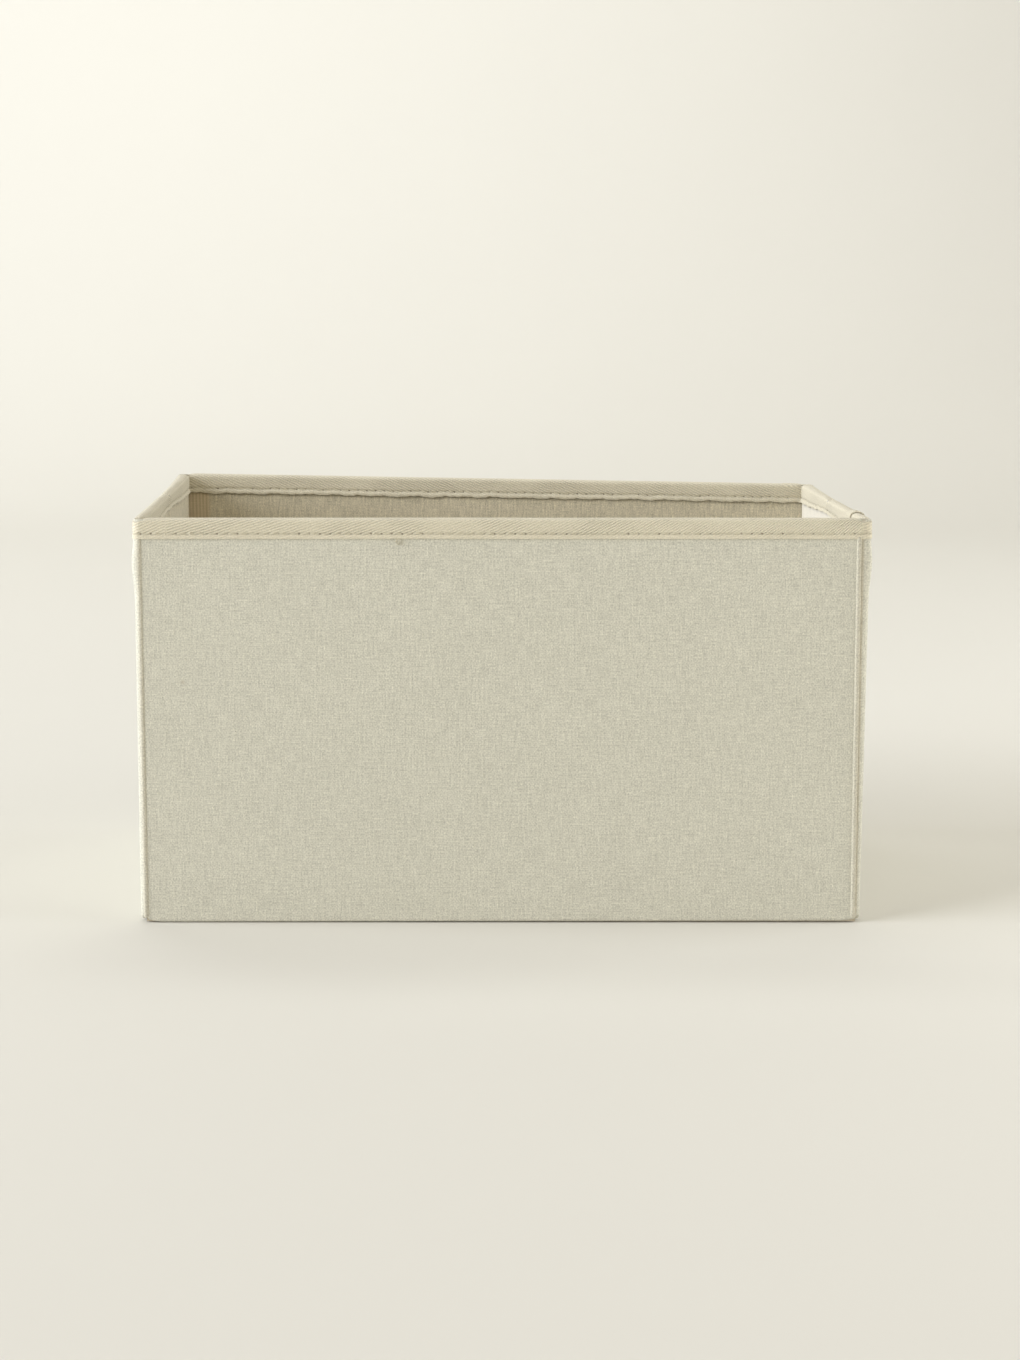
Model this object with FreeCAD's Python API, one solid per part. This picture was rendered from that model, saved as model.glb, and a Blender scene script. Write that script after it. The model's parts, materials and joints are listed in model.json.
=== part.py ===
import FreeCAD, Part
import os

# Fabric storage bin with boarded walls, open at the top, that folds flat.
# Millimetres. The origin is the centre of the footprint on the surface that the bin stands on:
# +X to the right, +Y to the back, +Z up.
#
# Every wall is cloth, board, lining. The two side walls are each split by an upright crease
# at mid depth, so they fold inwards like a bellows while the front wall moves to the back wall.
# The base is split along the middle and its two halves swing up against the front and back walls.

# Driving dimensions
LENGTH = 350.0  # over the cloth, along X
DEPTH = 200.0  # over the cloth, along Y
HEIGHT = 200.0  # floor to the top of the rim tape
CLOTH = 0.6  # outer cloth and lining cloth
BOARD = 2.0  # greyboard stiffener
BOARD_DROP = 4.0  # slack above the wall boards inside the tape
TAPE = 0.7  # herringbone binding tape
TAPE_DROP = 11.0  # how far the tape comes down on each side of the rim
THREAD = 0.2  # how far the sewing thread stands off the tape
THREAD_WIDTH = 0.5
STITCH_RISE = 3.0  # stitch line above the tape's lower edge
SEAM = 1.0  # thickness of the corner seam allowance
SEAM_STEP = 0.4  # how far the corner seam stands off the cloth
GAP = 0.3  # running gap between cloths that move apart
BASE_POCKET = 3.8  # room between a folded side wall and the front or back wall
OVERLAP_WIDTH = 12.0  # free end of the tape, folded under and sewn down
OVERLAP_SHARE = 0.155  # where it lies, as a share of the depth behind the front face

# Derived places
WALL = 2 * CLOTH + BOARD
HALF_LENGTH = LENGTH / 2
HALF_DEPTH = DEPTH / 2
WALL_TOP = HEIGHT - TAPE
TAPE_EDGE = HEIGHT - TAPE_DROP
INNER_X = HALF_LENGTH - WALL
INNER_Y = HALF_DEPTH - WALL
CORNER_X = INNER_X - TAPE  # upright hinge line at each corner
CORNER_Y = INNER_Y - BASE_POCKET
FOOT_Z = CLOTH  # boards stand on the thickness of the bottom cloth
BASE_TOP = 2 * CLOTH + BOARD
BOARD_TOP = WALL_TOP - BOARD_DROP
BASE_X = INNER_X - GAP
BASE_Y = INNER_Y - GAP
BASE_MIDDLE = GAP / 2  # each base half stops short of the middle line
MITRE_X = BASE_X - (BASE_Y - BASE_MIDDLE)  # where the 45 degree ends meet the middle line


def block(x_range, y_range, z_range):
    """A box from three (low, high) pairs."""
    size = [abs(high - low) for low, high in (x_range, y_range, z_range)]
    low_corner = FreeCAD.Vector(min(x_range), min(y_range), min(z_range))
    return Part.makeBox(*size, low_corner)


def prism_up(points, low, high):
    """An upright prism over a flat outline of (x, y) points."""
    corners = [FreeCAD.Vector(x, y, low) for x, y in points]
    outline = Part.makePolygon(corners + corners[:1])
    return Part.Face(outline).extrude(FreeCAD.Vector(0, 0, high - low))


def fuse(shapes):
    """One solid from shapes that meet."""
    return shapes[0].fuse(shapes[1:]).removeSplitter()


def save(node, shape):
    """Writes one node; a node may hold several separate solids."""
    shape.exportStep(os.path.join("parts", node + ".step"))


# Front and back walls, made for +Y (back) and mirrored for the front


def long_wall_layers():
    """Cloth, board and lining of the back wall."""
    width = (CLOTH - HALF_LENGTH, HALF_LENGTH - CLOTH)
    board_out = HALF_DEPTH - CLOTH
    board_in = board_out - BOARD
    return {
        "cover": block(width, (board_out, HALF_DEPTH), (0, WALL_TOP)),
        "board": block(width, (board_in, board_out), (FOOT_Z, BOARD_TOP)),
        "lining": block(width, (INNER_Y, board_in), (FOOT_Z, WALL_TOP)),
    }


def long_wall_binding():
    """Tape folded over the rim of the back wall, with a short return round each corner."""
    outer = HALF_DEPTH + TAPE
    reach = HALF_LENGTH + TAPE
    pieces = [
        block((-reach, reach), (HALF_DEPTH, outer), (TAPE_EDGE, HEIGHT)),
        block((-reach, reach), (INNER_Y, outer), (WALL_TOP, HEIGHT)),
        block((-CORNER_X, CORNER_X), (INNER_Y - TAPE, INNER_Y), (TAPE_EDGE, HEIGHT)),
    ]
    for side in (-1, 1):
        end = (side * HALF_LENGTH, side * reach)
        pieces.append(block(end, (INNER_Y, outer), (TAPE_EDGE, HEIGHT)))
    return fuse(pieces)


def long_wall_stitches():
    """The two faces of the seam that holds the tape: outer and inner thread line."""
    low = TAPE_EDGE + STITCH_RISE
    height = (low, low + THREAD_WIDTH)
    outer = HALF_DEPTH + TAPE
    inner = INNER_Y - TAPE
    return Part.makeCompound([
        block((-HALF_LENGTH, HALF_LENGTH), (outer, outer + THREAD), height),
        block((-CORNER_X, CORNER_X), (inner - THREAD, inner), height),
    ])


def corner_seam(side):
    """Turned seam allowance that joins the back cloth to a side cloth and closes the board's end."""
    start = HALF_LENGTH - CLOTH
    return block(
        (side * start, side * (start + SEAM)),
        (INNER_Y, HALF_DEPTH + SEAM_STEP),
        (0, TAPE_EDGE - GAP),
    )


# Side walls: four half walls, made for the right back one and mirrored for the others


def half_wall_layers():
    """Cloth, board and lining of the right wall's back half, from the crease to the corner."""
    board_out = HALF_LENGTH - CLOTH
    board_in = board_out - BOARD
    boarded = (GAP, CORNER_Y)
    return {
        "cover": block((board_out, HALF_LENGTH), (GAP, INNER_Y - GAP), (0, WALL_TOP)),
        "board": block((board_in, board_out), boarded, (FOOT_Z, BOARD_TOP)),
        "lining": block((INNER_X, board_in), boarded, (FOOT_Z, WALL_TOP)),
    }


def half_wall_binding():
    """Tape over the rim of the half wall."""
    outer = HALF_LENGTH + TAPE
    return fuse([
        block((HALF_LENGTH, outer), (GAP, INNER_Y - GAP), (TAPE_EDGE, HEIGHT)),
        block((CORNER_X, outer), (GAP, CORNER_Y), (WALL_TOP, HEIGHT)),
        block((CORNER_X, INNER_X), (GAP, CORNER_Y), (TAPE_EDGE, HEIGHT)),
    ])


def half_wall_stitches():
    """Outer and inner thread line of the half wall's tape."""
    low = TAPE_EDGE + STITCH_RISE
    height = (low, low + THREAD_WIDTH)
    run = (STITCH_RISE, CORNER_Y - STITCH_RISE)
    outer = HALF_LENGTH + TAPE
    return Part.makeCompound([
        block((outer, outer + THREAD), run, height),
        block((CORNER_X - THREAD, CORNER_X), run, height),
    ])


def binding_overlap():
    """Free end of the tape, folded under and lapped over its start on the right wall's front half."""
    middle = OVERLAP_SHARE * DEPTH - HALF_DEPTH
    run = (middle - OVERLAP_WIDTH / 2, middle + OVERLAP_WIDTH / 2)
    outer = HALF_LENGTH + TAPE
    clear = TAPE_EDGE + STITCH_RISE + THREAD_WIDTH + GAP
    return fuse([
        block((outer, outer + TAPE), run, (clear, HEIGHT + TAPE)),
        block((CORNER_X - TAPE, outer + TAPE), run, (HEIGHT, HEIGHT + TAPE)),
        block((CORNER_X - TAPE, CORNER_X), run, (clear, HEIGHT + TAPE)),
    ])


# Base, made for the back half and mirrored for the front


def base_half(low, high):
    """Back half of the base: full length at the wall, its ends mitred at 45 degrees."""
    outline = [(-BASE_X, BASE_Y), (BASE_X, BASE_Y), (MITRE_X, BASE_MIDDLE), (-MITRE_X, BASE_MIDDLE)]
    return prism_up(outline, low, high)


def bottom_cover():
    """The bottom cloth, one panel sewn to the foot of all the walls."""
    return block((-BASE_X, BASE_X), (-BASE_Y, BASE_Y), (0, CLOTH))


def bottom_gusset(low, high):
    """Unboarded triangle of lining that fills the right end of the base's back half."""
    slack = 2 * GAP
    outline = [(BASE_X, BASE_MIDDLE), (BASE_X, BASE_Y - slack), (MITRE_X + slack, BASE_MIDDLE)]
    return prism_up(outline, low, high)


def flipped(shape, across_x, across_y):
    """The shape mirrored across the middle planes that are asked for."""
    middle = FreeCAD.Vector(0, 0, 0)
    if across_x:
        shape = shape.mirror(middle, FreeCAD.Vector(1, 0, 0))
    if across_y:
        shape = shape.mirror(middle, FreeCAD.Vector(0, 1, 0))
    return shape


def build_long_wall(name, to_front):
    """All nodes of the back or front wall."""
    for layer, shape in long_wall_layers().items():
        save(f"{name}_{layer}", flipped(shape, False, to_front))
    save(f"{name}_binding", flipped(long_wall_binding(), False, to_front))
    save(f"{name}_binding_stitches", flipped(long_wall_stitches(), False, to_front))
    for side_name, side in (("left", -1), ("right", 1)):
        save(f"{name}_{side_name}_corner_seam", flipped(corner_seam(side), False, to_front))


def build_half_wall(name, to_left, to_front):
    """All nodes of one half of a side wall."""
    for layer, shape in half_wall_layers().items():
        save(f"{name}_{layer}", flipped(shape, to_left, to_front))
    save(f"{name}_binding", flipped(half_wall_binding(), to_left, to_front))
    save(f"{name}_binding_stitches", flipped(half_wall_stitches(), to_left, to_front))


def build_base_half(name, to_front):
    """Board, lining and two end gussets of one half of the base."""
    board_top = FOOT_Z + BOARD
    save(f"{name}_board", flipped(base_half(FOOT_Z, board_top), False, to_front))
    save(f"{name}_lining", flipped(base_half(board_top, BASE_TOP), False, to_front))
    for side_name, to_left in (("left", True), ("right", False)):
        gusset = flipped(bottom_gusset(board_top, BASE_TOP), to_left, to_front)
        save(f"{name}_{side_name}_gusset", gusset)


os.makedirs("parts", exist_ok=True)
build_long_wall("back", False)
build_long_wall("front", True)
build_half_wall("left_back", True, False)
build_half_wall("left_front", True, True)
build_half_wall("right_front", False, True)
build_half_wall("right_back", False, False)
save("right_front_binding_overlap", binding_overlap())
build_base_half("base_back", False)
build_base_half("base_front", True)
save("bottom_cover", bottom_cover())
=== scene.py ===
"""Looks of a folding fabric storage bin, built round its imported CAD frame. Everything is in metres."""

import json
import math

import bpy
import numpy as np
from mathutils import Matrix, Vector


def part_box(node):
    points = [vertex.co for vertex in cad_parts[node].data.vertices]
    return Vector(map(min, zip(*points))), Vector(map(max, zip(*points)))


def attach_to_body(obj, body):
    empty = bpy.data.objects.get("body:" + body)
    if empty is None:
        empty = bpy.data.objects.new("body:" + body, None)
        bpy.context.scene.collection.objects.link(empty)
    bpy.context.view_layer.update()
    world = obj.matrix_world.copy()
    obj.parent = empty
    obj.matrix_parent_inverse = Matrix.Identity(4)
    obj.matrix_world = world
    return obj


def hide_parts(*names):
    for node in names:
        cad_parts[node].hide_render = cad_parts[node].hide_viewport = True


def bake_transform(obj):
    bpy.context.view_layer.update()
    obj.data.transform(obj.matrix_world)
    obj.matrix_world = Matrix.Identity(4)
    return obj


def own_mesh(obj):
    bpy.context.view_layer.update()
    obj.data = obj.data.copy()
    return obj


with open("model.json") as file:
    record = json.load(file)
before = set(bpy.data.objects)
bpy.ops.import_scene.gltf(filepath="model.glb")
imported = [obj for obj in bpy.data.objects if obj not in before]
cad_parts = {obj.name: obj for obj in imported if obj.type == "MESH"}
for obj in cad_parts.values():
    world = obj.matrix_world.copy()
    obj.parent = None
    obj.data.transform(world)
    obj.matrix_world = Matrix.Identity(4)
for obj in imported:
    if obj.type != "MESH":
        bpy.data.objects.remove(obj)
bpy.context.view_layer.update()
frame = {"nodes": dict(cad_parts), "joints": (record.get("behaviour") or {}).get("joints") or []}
joints = {joint["name"]: joint for joint in frame["joints"]}
MM = 0.001

# Sizes from the frame
HALF_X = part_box("right_back_cover")[1].x
HALF_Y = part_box("back_cover")[1].y
INNER_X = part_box("right_back_lining")[0].x
INNER_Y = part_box("back_lining")[0].y
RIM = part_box("back_binding")[1].z
TAPE_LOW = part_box("back_binding")[0].z
CLOTH_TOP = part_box("back_cover")[1].z
CLOTH = HALF_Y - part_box("back_cover")[0].y
BASE_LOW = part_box("base_back_lining")[0].z
BASE_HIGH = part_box("base_back_lining")[1].z
LAP_Y = [corner.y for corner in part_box("right_front_binding_overlap")]
CORNER = Vector(joints["right_front_corner_fold"]["pos_m"])  # front right upright fold line
CREASE = Vector(joints["right_crease_fold"]["pos_m"])

# How the sewn bin differs from the plain frame
SIDE_PROUD = 1.6 * MM  # side cloth stands out at the corners
CREASE_PROUD = 0.7 * MM  # and less beside the crease
LONG_PROUD = 0.25 * MM  # front and back cloth
# Corner radii along the length: front right, back right, back left, front left
RADIUS_TOP = np.array([4.8, 3.0, 3.0, 3.4]) * MM
RADIUS_FOOT = np.array([2.4, 2.4, 2.4, 3.0]) * MM
DEEP_SHARE = 0.75  # of those radii, for the radius along the depth,
DEEP_MORE = 0.2 * MM  # plus this,
DEEP_MOST = 3.2 * MM  # at most
INNER_RADIUS = 1.6 * MM
FOOT_ROUND = 1.4 * MM  # the cloth turns under the foot with this radius
FOOT_RETURN = 3.2 * MM  # and goes on under the board this far
CORNER_LIFT = 1.8 * MM  # the foot curves up at each corner
LIFT_HEIGHT = 9 * MM  # and the cloth follows up to here
PINCH = 2.2 * MM  # the cloth is drawn in at the foot of each corner
PINCH_HEIGHT = 5 * MM
COVER_WAVE = 0.45 * MM  # depth of the slow undulation in the outer cloth
LINING_WAVE = 0.5 * MM
CALM_END = 25 * MM  # the undulation fades within this of the foot and the rim
CALM_FOOT = 30 * MM
LEFT_SPREAD = 0.8 * MM  # the left wall stands out at the foot
RIM_BULGE = 1.2 * MM  # both side walls stand out just under the tape
BULGE_Z = 178 * MM
BULGE_HALF = 10 * MM
BACK_SPREAD = 1.0 * MM  # both side walls stand out at the back corners
SPREAD_FROM = 0.4  # from this share of the half depth on
SETTLE = 3.0 * MM  # back right corner low, back left corner high
BACK_RISE = 1.0 * MM  # the back rim is higher than the front one
CREASE_HALF = 50 * MM  # half width of a crease piece
CREASE_GROOVE = 6 * MM  # width of the groove along a crease outside,
GROOVE_DEPTH = 1.0 * MM
RIDGE_DEPTH = 0.8 * MM  # and the ridge that it makes inside
RIDGE_HALF = 3 * MM
BOARD_END = 2.5 * MM  # the slack starts over this length
CORNER_FINE = 6 * MM  # points lie closer together this near to a corner
CREASE_FINE = 8 * MM
TAPE_END = 160 * MM  # front and back tape stops here, and the corner pieces go on
TAPE_CLOTH = 0.5 * MM
TAPE_BULGE = 1.9 * MM  # the tape stands up round the rim
OUTER_LOW = TAPE_LOW + 1.1 * MM  # lower edges of the tape's two legs
INNER_LOW = TAPE_LOW + 0.5 * MM
TAPE_WAVE = 0.25 * MM  # unevenness of the outer lower edge and of the top
NOTCH = 1.5 * MM  # the rim dips at each crease
NOTCH_HALF = 1.8 * MM
CORNER_DIP = 1.7 * MM  # and at each corner
CORNER_DIP_HALF = 3.6 * MM
STITCH_RISE = 2.4 * MM  # stitch line above the tape's lower edge
STITCH_DRAW = 0.3 * MM  # the tape is drawn in along it
STITCH_DRAW_HALF = 0.7 * MM
STITCH_PITCH = 4.9 * MM
STITCH_LENGTH = 3.6 * MM
STITCH_ARCH = 0.16 * MM  # a stitch stands up by this much between its ends,
STITCH_DIP = 0.10 * MM  # which lie this deep,
STITCH_UNEVEN = 0.015  # with this spread in height and in lean, in mm
STITCH_LEAN = 0.12
THREAD_RADIUS = 0.22 * MM
RIB_PITCH = 1.25 * MM
BACK_LEFT_BAND = 11.5 * MM  # width of the browner ribbed band at the lining's back left inner corner
SLACK_LOW = 3.0 * MM  # the inner leg is this much narrower beside a crease
SLACK_HALF = 45 * MM
CORNER_SLACK = 2.2 * MM  # past the boards' ends the side lining lies further out
SLEEVE = 0.25 * MM  # the back right corner piece stands outside the half wall's end
SLEEVE_FADE = 3 * MM
KNUCKLE_STEP = 0.8 * MM
FOLD_DEGREES = 88  # full travel of the fold
WARP_PITCH = 0.72 * MM
WEFT_PITCH = 0.95 * MM
SMOOTH_ANGLE = 50  # degrees; flatter edges look smooth


def limit(value):
    """Keeps a share between 0 and 1."""
    return np.clip(value, 0, 1)


def hump(value, half):
    """1 at zero, falling smoothly to both sides."""
    return np.exp(-((value / half) ** 2))


def run_along(path):
    """Length from the start of a path to each of its points."""
    return np.r_[0, np.cumsum(np.linalg.norm(np.diff(path, axis=0), axis=-1))]


def uv_grid(u, v):
    """UVs of a sheet from the lengths of its columns and rows."""
    return np.stack(np.broadcast_arrays(np.reshape(u, (-1, 1)), v), -1)


# Plan outline: a station runs 0 to 8 round the bin, seen from above, anticlockwise.
# 0 front wall, 1 front right corner, 2 right wall, 3 back right corner, and so on to 7.


def outline(station, z, half_x, half_y, radius_top, radius_foot):
    """Plan points and outward directions of a rounded rectangle whose corners open with height."""
    station = np.asarray(station, float) % 8
    share = limit(z / RIM)
    point = np.zeros(station.shape + (2,))
    normal = np.zeros(station.shape + (2,))
    signs = ((1, -1), (1, 1), (-1, 1), (-1, -1))
    long_radius = [radius_foot[c] + (radius_top[c] - radius_foot[c]) * share for c in range(4)]
    deep_radius = [np.minimum(DEEP_SHARE * r + DEEP_MORE, DEEP_MOST) for r in long_radius]
    centres = [
        (sx * (half_x - long_radius[c]), sy * (half_y - deep_radius[c]))
        for c, (sx, sy) in enumerate(signs)
    ]
    for corner in range(4):
        on_arc = np.floor(station) == 2 * corner + 1
        angle = math.radians(90) * (corner - 1 + station - (2 * corner + 1))
        cosine, sine = np.cos(angle), np.sin(angle)
        wide, deep = long_radius[corner], deep_radius[corner]
        arc = np.stack([centres[corner][0] + wide * cosine, centres[corner][1] + deep * sine], -1)
        out = np.stack([cosine / wide, sine / deep], -1)
        out /= np.linalg.norm(out, axis=-1, keepdims=True)
        point[on_arc], normal[on_arc] = arc[on_arc], out[on_arc]
        # the straight wall before this corner, along x or y
        on_wall = np.floor(station) == 2 * corner
        axis = corner % 2
        wall_out = np.array([(0, -1), (1, 0), (0, 1), (-1, 0)][corner], float)
        first, last = centres[corner - 1][axis], centres[corner][axis]
        along = first + (last - first) * (station - 2 * corner)
        level = np.full_like(along, wall_out[1 - axis] * (half_y, half_x)[axis])
        wall = np.stack([level, along] if axis else [along, level], -1)
        point[on_wall], normal[on_wall] = wall[on_wall], wall_out
    return point, normal


# Length along the ring, u, which the textures, stitches and pieces share
NOMINAL_RADIUS = 3 * MM
WALL_LENGTHS = [2 * (HALF_X - NOMINAL_RADIUS), 2 * (HALF_Y - NOMINAL_RADIUS)] * 2
ARC_LENGTH = NOMINAL_RADIUS * math.pi / 2
STOPS = np.r_[0, np.cumsum([n for wall in WALL_LENGTHS for n in (wall, ARC_LENGTH)])]
ROUND = STOPS[8]


def station_at(u):
    """Station of a length along the ring."""
    return np.interp(np.asarray(u) % ROUND, STOPS, np.arange(9))


def on_side_wall(station):
    """Whether a station lies on the right or the left wall."""
    return np.isin(np.floor(station), (2, 6))


def wall_middle(station):
    """1 at the middle of each wall, falling to 0 at its corners."""
    on_wall = np.floor(station) % 2 == 0
    share = np.where(on_wall, np.minimum(station % 2, 1.0), 0.0)
    return np.sin(math.pi * share) ** 0.5


# Length along the ring of a point on each wall


def right_at(y):
    return STOPS[2] + y + WALL_LENGTHS[1] / 2


def left_at(y):
    return STOPS[6] + WALL_LENGTHS[1] / 2 - y


def front_at(x):
    return x + WALL_LENGTHS[0] / 2


def back_at(x):
    return STOPS[4] + WALL_LENGTHS[0] / 2 - x


def columns(start, end, step=2.5 * MM):
    """Lengths from start to end, closer together at the corners and the creases."""
    fine, least = 0.5 * MM, 0.2 * MM
    marks = [np.linspace(start, end, max(2, round((end - start) / step) + 1))]
    for low, high in [
        (STOPS[1], STOPS[2] + CORNER_FINE),
        (STOPS[3] - CORNER_FINE, STOPS[4]),
        (STOPS[5], STOPS[6] + CORNER_FINE),
        (STOPS[7] - CORNER_FINE, STOPS[8]),
        (right_at(-CREASE_FINE), right_at(CREASE_FINE)),
        (left_at(CREASE_FINE), left_at(-CREASE_FINE)),
    ]:
        low, high = max(low, start), min(high, end)
        if high - low > fine:
            marks.append(np.linspace(low, high, round((high - low) / fine) + 1))
    lengths = np.unique(np.round(np.concatenate(marks), 6))
    keep = np.r_[True, np.diff(lengths) > least]
    keep[-1] = True
    return lengths[keep]


def settle(points):
    """The rim's slight warp: the back right corner sits low and the back left one high."""
    points = points.copy()
    to_back = (points[..., 1] + HALF_Y) / (2 * HALF_Y)
    drop = (SETTLE * points[..., 0] / HALF_X - BACK_RISE) * to_back
    points[..., 2] -= drop * np.clip(points[..., 2] / RIM, 0, None)
    return points


def swell(u, z, waves, seed):
    """Smooth shallow undulation between 0 and 1, the same on each run."""
    draw = np.random.default_rng(seed)
    total = np.zeros(np.broadcast(u, z).shape)
    for _ in range(waves):
        turns = draw.integers(2, 14)
        rise = draw.uniform(4, 22)
        total += np.sin(2 * math.pi * turns * u / ROUND + rise * z / RIM + draw.uniform(0, 6.28))
    return 0.5 + 0.5 * total / waves


def side_relief(y):
    """How far the side cloth lies inside its corners' line, with a groove at the crease."""
    share = limit(np.abs(y) / HALF_Y)
    proud = CREASE_PROUD + (SIDE_PROUD - CREASE_PROUD) * share**1.5
    groove = GROOVE_DEPTH * np.exp(-((np.abs(y) / (CREASE_GROOVE / 2)) ** 1.3))
    return proud - groove - SIDE_PROUD


def outer_surface(u, z):
    """Points and outward directions of the bin's outer cloth."""
    station = station_at(u)
    plan, out = outline(station, z, HALF_X + SIDE_PROUD, HALF_Y + LONG_PROUD, RADIUS_TOP, RADIUS_FOOT)
    lift = np.where(on_side_wall(station), side_relief(plan[..., 1]), 0.0)
    calm = limit(np.minimum(z, RIM - z) / CALM_END)
    lift = lift + COVER_WAVE * calm * wall_middle(station) * swell(u, z, 5, 3)
    to_side = np.abs(out[..., 0])
    bulge = RIM_BULGE * hump(z - BULGE_Z, BULGE_HALF)
    to_left = limit(-out[..., 0]) * limit(1 - z / RIM)
    to_back = limit(plan[..., 1] / HALF_Y - SPREAD_FROM) / (1 - SPREAD_FROM)
    lift = lift + to_side * (bulge + BACK_SPREAD * to_back) + LEFT_SPREAD * to_left
    return plan + out * lift[..., None], out


def inner_surface(u, z):
    """Points and outward directions of the lining's face towards the inside."""
    station = station_at(u)
    radii = np.full(4, INNER_RADIUS)
    plan, out = outline(station, z, INNER_X + CORNER_SLACK, INNER_Y, radii, radii)
    board_end = CREASE.y - CORNER.y
    to_corner = np.clip((np.abs(plan[..., 1]) - board_end) / BOARD_END, 0, 1)
    ridge = RIDGE_DEPTH * hump(plan[..., 1], RIDGE_HALF) + CORNER_SLACK * (1 - to_corner)
    calm = limit(z / CALM_FOOT)
    wave = LINING_WAVE * calm * wall_middle(station) * swell(u, z, 6, 11)
    inward = np.where(on_side_wall(station), ridge, 0.0) + wave
    return plan - out * inward[..., None], out


# Mesh builders


def build_mesh(name, points, faces, uvs, material):
    """One object from points, faces and UV maps given per point."""
    mesh = bpy.data.meshes.new(name)
    mesh.from_pydata(points.tolist(), [], faces)
    corner_points = np.empty(len(mesh.loops), np.int32)
    mesh.loops.foreach_get("vertex_index", corner_points)
    for layer_name, values in uvs.items():
        layer = mesh.uv_layers.new(name=layer_name)
        layer.data.foreach_set("uv", values[corner_points].astype(np.float32).ravel())
    mesh.shade_smooth()
    mesh.set_sharp_from_angle(angle=math.radians(SMOOTH_ANGLE))
    mesh.materials.append(material)
    thing = bpy.data.objects.new(name, mesh)
    bpy.context.scene.collection.objects.link(thing)
    return thing


def shell(name, face, reverse, uvs, material):
    """A thin closed sheet between two grids of points (columns, rows, 3)."""
    count, rows = face.shape[:2]
    number = np.arange(count * rows).reshape(count, rows)
    back = number + count * rows

    def quads(grid):
        return np.stack([grid[:-1, :-1], grid[1:, :-1], grid[1:, 1:], grid[:-1, 1:]], -1).reshape(-1, 4)

    def strip(a, b):
        return np.stack([a[:-1], b[:-1], b[1:], a[1:]], -1)

    faces = np.concatenate([
        quads(number),
        quads(back)[:, ::-1],
        strip(number[:, 0], back[:, 0]),
        strip(back[:, -1], number[:, -1]),
        strip(back[0], number[0]),
        strip(number[-1], back[-1]),
    ])
    points = settle(np.concatenate([face.reshape(-1, 3), reverse.reshape(-1, 3)]))
    maps = {key: np.tile(values.reshape(-1, 2), (2, 1)) for key, values in uvs.items()}
    return build_mesh(name, points, faces.tolist(), maps, material)


def with_height(plan, z):
    """Points in space from plan points and a height."""
    return np.concatenate([plan, np.broadcast_to(z, plan.shape[:-1])[..., None]], -1)


# Material graphs


class Graph:
    """Short calls for one material's node tree."""

    def __init__(self, name):
        self.material = bpy.data.materials.new(name)
        self.material.use_nodes = True
        self.tree = self.material.node_tree
        self.shader = self.tree.nodes["Principled BSDF"]

    def put(self, socket, value):
        if isinstance(value, bpy.types.NodeSocket):
            self.tree.links.new(value, socket)
        else:
            socket.default_value = value

    def node(self, kind, *values):
        """A new node, with values or links for its first inputs."""
        node = self.tree.nodes.new("ShaderNode" + kind)
        for socket, value in zip(node.inputs, values):
            self.put(socket, value)
        return node

    def math(self, operation, *values):
        node = self.node("Math", *values)
        node.operation = operation
        return node.outputs[0]

    def uv(self, name="UVMap"):
        """The two coordinates of a UV map, in metres."""
        source = self.node("UVMap")
        source.uv_map = name
        return self.node("SeparateXYZ", source.outputs[0]).outputs[:2]

    def place(self):
        """The object's own three coordinates."""
        return self.node("SeparateXYZ", self.node("TexCoord").outputs["Object"]).outputs

    def noise(self, u, v, per_u, per_v, detail=2.0, seed=0.0):
        """Noise from 0 to 1; per_u and per_v are cycles per metre."""
        vector = self.node("CombineXYZ", self.times(u, per_u), self.times(v, per_v), seed)
        node = self.node("TexNoise", vector.outputs[0])
        node.inputs["Scale"].default_value = 1.0
        node.inputs["Detail"].default_value = detail
        return node.outputs[0]

    def ramp(self, value, low, high, out_low=0.0, out_high=1.0):
        """Smooth step from out_low to out_high while value goes from low to high."""
        node = self.node("MapRange", value, low, high, out_low, out_high)
        node.interpolation_type = "SMOOTHSTEP"
        return node.outputs[0]

    def tint(self, colour, brightness):
        """The colour times a brightness that varies over the surface."""
        is_linked = isinstance(colour, bpy.types.NodeSocket)
        node = self.node("VectorMath", colour if is_linked else colour[:3])
        node.operation = "SCALE"
        self.put(node.inputs["Scale"], brightness)
        return node.outputs[0]

    def mix(self, share, low, high):
        """Colour between low and high."""
        node = self.node("Mix", share)
        node.data_type = "RGBA"
        self.put(node.inputs[6], low)
        self.put(node.inputs[7], high)
        return node.outputs[2]

    def total(self, *values):
        """The sum of all the values."""
        result = values[0]
        for value in values[1:]:
            result = self.math("ADD", result, value)
        return result

    def times(self, value, factor):
        return self.math("MULTIPLY", value, factor)

    def minus(self, value, other):
        return self.math("SUBTRACT", value, other)

    def apart(self, value, other):
        return self.math("ABSOLUTE", self.minus(value, other))

    def wave(self, value, pitch):
        """A sine, from -1 to 1, that repeats each pitch."""
        return self.math("SINE", self.times(value, 2 * math.pi / pitch))

    def swing(self, value, amount):
        """A 0 to 1 value as a change either way, amount from end to end."""
        return self.times(self.minus(value, 0.5), amount)

    def finish(self, colour, height_mm, roughness=0.92, sheen=0.15):
        """Connects colour and bump; the uniform numbers sit on the shader itself."""
        bump = self.node("Bump")
        bump.inputs["Strength"].default_value = 1.0
        bump.inputs["Distance"].default_value = MM
        self.put(bump.inputs["Height"], height_mm)
        inputs = self.shader.inputs
        self.put(inputs["Base Color"], colour)
        self.put(inputs["Normal"], bump.outputs[0])
        inputs["Roughness"].default_value = roughness
        inputs["Specular IOR Level"].default_value = 0.2
        inputs["Sheen Weight"].default_value = sheen
        inputs["Sheen Roughness"].default_value = 0.6
        return self.material


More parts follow.
